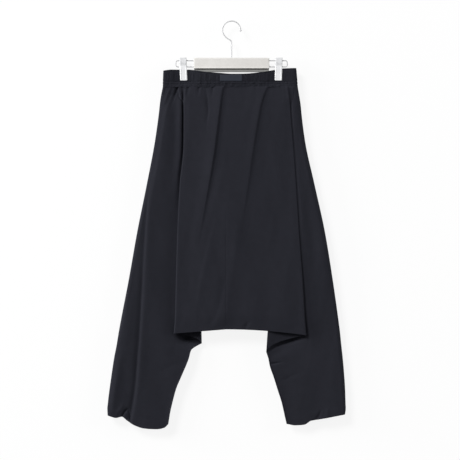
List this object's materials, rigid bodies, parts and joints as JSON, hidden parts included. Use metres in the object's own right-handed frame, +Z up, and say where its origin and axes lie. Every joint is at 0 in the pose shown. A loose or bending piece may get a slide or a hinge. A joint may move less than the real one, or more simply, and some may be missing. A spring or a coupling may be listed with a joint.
{
  "type": "harem trousers on a clip hanger",
  "caption": "Dark dropped-crotch trousers with an elastic waistband and tapered legs, hanging flat by the waist from a slim clip hanger.",
  "frame": {"origin": "inner top of the hook, where the rail that carries the hanger touches it", "axes": "+Z up along the hanging garment, +X to the right as its front is seen, -Y out of its front"},
  "size_m": [0.6198, 0.0386, 1.0605],
  "materials": {
    "navy_cloth": "smooth plain weave, matte with a faint sheen",
    "navy_band": "the same cloth, gathered and stitched over elastic",
    "woven_label": "fine satin weave, blank",
    "polished_steel": "polished wire",
    "clip_metal": "light grey, satin",
    "painted_bar": "pale greige paint, satin"
  },
  "bodies": {
    "root": {"front_left": "navy_cloth", "front_right": "navy_cloth", "back_left": "navy_cloth", "back_right": "navy_cloth", "waistband_front": "navy_band", "waistband_back": "navy_band", "label": "woven_label", "hanger_hook": "polished_steel", "hanger_hook_tip": "polished_steel", "hanger_bar": "painted_bar", "hanger_rail_left": "polished_steel", "hanger_rail_right": "polished_steel", "clip_left_front": "clip_metal", "clip_left_back": "clip_metal", "clip_left_spring": "polished_steel", "clip_right_front": "clip_metal", "clip_right_back": "clip_metal", "clip_right_spring": "polished_steel"}
  },
  "joints": []
}
